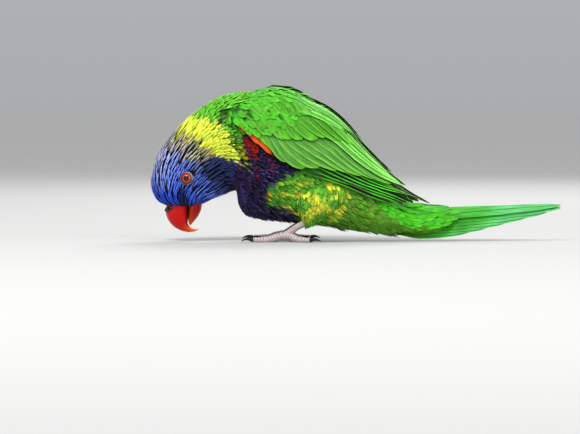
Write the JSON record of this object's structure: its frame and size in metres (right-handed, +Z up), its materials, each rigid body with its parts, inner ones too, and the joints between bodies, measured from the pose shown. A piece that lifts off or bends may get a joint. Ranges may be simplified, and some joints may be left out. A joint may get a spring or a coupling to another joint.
{
  "type": "rainbow lorikeet",
  "caption": "Life-size still model of a small blue-headed green parrot that stands with its head bent down to feed and its wings folded.",
  "frame": {"origin": "on the floor, under the middle of the bird's length and width", "axes": "+X towards the tail, so the bird faces -X; +Y towards the bird's right side; +Z up"},
  "size_m": [0.2536, 0.0647, 0.0971],
  "materials": {
    "head_plumage": "narrow pointed feathers, matte with a slight sheen",
    "neck_plumage": "short soft feathers, matte",
    "body_plumage": "short soft feathers, matte",
    "wing_plumage": "firm overlapping feathers with a satin sheen",
    "tail_plumage": "firm overlapping feathers with a satin sheen",
    "thigh_plumage": "short soft feathers, matte",
    "bill": "smooth polished horn",
    "eyes": "wet gloss",
    "feet": "scaly dry skin",
    "claws": "smooth dark horn"
  },
  "bodies": {
    "root": {"head": "head_plumage", "neck": "neck_plumage", "torso": "body_plumage", "upper_bill": "bill", "lower_bill": "bill", "eye_left": "eyes", "eye_right": "eyes", "wing_left": "wing_plumage", "wing_right": "wing_plumage", "tail": "tail_plumage", "thigh_left": "thigh_plumage", "thigh_right": "thigh_plumage", "foot_left": "feet", "foot_right": "feet", "claw_inner_front_left": "claws", "claw_outer_front_left": "claws", "claw_outer_hind_left": "claws", "claw_inner_hind_left": "claws", "claw_inner_front_right": "claws", "claw_outer_front_right": "claws", "claw_outer_hind_right": "claws", "claw_inner_hind_right": "claws"}
  },
  "joints": []
}
